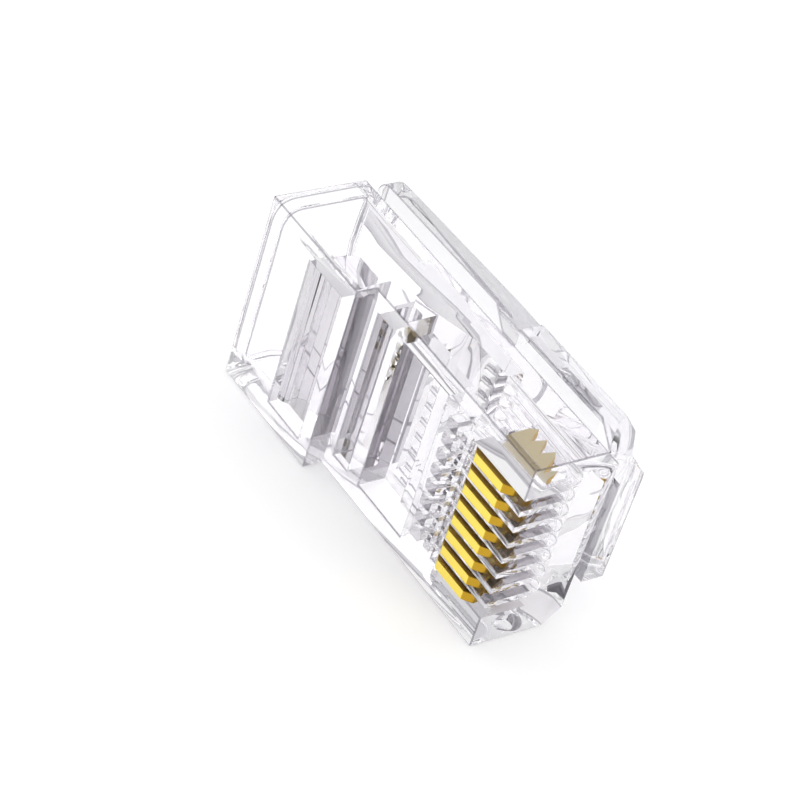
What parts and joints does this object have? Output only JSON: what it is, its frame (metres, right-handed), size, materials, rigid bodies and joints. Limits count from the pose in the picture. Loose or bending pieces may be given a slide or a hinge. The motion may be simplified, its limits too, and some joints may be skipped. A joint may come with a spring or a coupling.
{
  "type": "rj45 modular plug",
  "caption": "Clear modular plug with gold-plated piercing contacts, a sprung locking latch and press-in strain-relief bars, ready to be crimped onto a network cable.",
  "frame": {"origin": "centre of the bounding box at the side wall that the plug lies on", "axes": "+X along the plug to its nose, +Y from the contact face to the latch, +Z across the plug from side wall to side wall"},
  "size_m": [0.0264, 0.0122, 0.0117],
  "materials": {
    "clear_plastic": "clear polished polycarbonate",
    "gold_plate": "gold over nickel plate, bright"
  },
  "bodies": {
    "housing": {"housing": "clear_plastic"},
    "latch": {"latch": "clear_plastic"},
    "jacket_bar": {"jacket_bar": "clear_plastic"},
    "wire_bar": {"wire_bar": "clear_plastic"},
    "contact_1": {"contact_1": "gold_plate"},
    "contact_2": {"contact_2": "gold_plate"},
    "contact_3": {"contact_3": "gold_plate"},
    "contact_4": {"contact_4": "gold_plate"},
    "contact_5": {"contact_5": "gold_plate"},
    "contact_6": {"contact_6": "gold_plate"},
    "contact_7": {"contact_7": "gold_plate"},
    "contact_8": {"contact_8": "gold_plate"}
  },
  "joints": [
    {"name": "latch_flex", "type": "hinge", "parent": "housing", "child": "latch", "pos_m": [0.01195, 0.0022, 0.00584], "axis": [0, 0, 1], "range_deg": [0, 11], "stiffness_Nm_per_rad": 0.4},
    {"name": "jacket_bar_press", "type": "hinge", "parent": "housing", "child": "jacket_bar", "pos_m": [-0.0048, -0.00537, 0.00584], "axis": [0, 0, 1], "range_deg": [0, 30]},
    {"name": "wire_bar_press", "type": "slide", "parent": "housing", "child": "wire_bar", "axis": [0, 1, 0], "range_m": [0, 0.0012]},
    {"name": "contact_1_press", "type": "slide", "parent": "housing", "child": "contact_1", "axis": [0, 1, 0], "range_m": [0, 0.0007]},
    {"name": "contact_2_press", "type": "slide", "parent": "housing", "child": "contact_2", "axis": [0, 1, 0], "range_m": [0, 0.0007]},
    {"name": "contact_3_press", "type": "slide", "parent": "housing", "child": "contact_3", "axis": [0, 1, 0], "range_m": [0, 0.0007]},
    {"name": "contact_4_press", "type": "slide", "parent": "housing", "child": "contact_4", "axis": [0, 1, 0], "range_m": [0, 0.0007]},
    {"name": "contact_5_press", "type": "slide", "parent": "housing", "child": "contact_5", "axis": [0, 1, 0], "range_m": [0, 0.0007]},
    {"name": "contact_6_press", "type": "slide", "parent": "housing", "child": "contact_6", "axis": [0, 1, 0], "range_m": [0, 0.0007]},
    {"name": "contact_7_press", "type": "slide", "parent": "housing", "child": "contact_7", "axis": [0, 1, 0], "range_m": [0, 0.0007]},
    {"name": "contact_8_press", "type": "slide", "parent": "housing", "child": "contact_8", "axis": [0, 1, 0], "range_m": [0, 0.0007]}
  ]
}
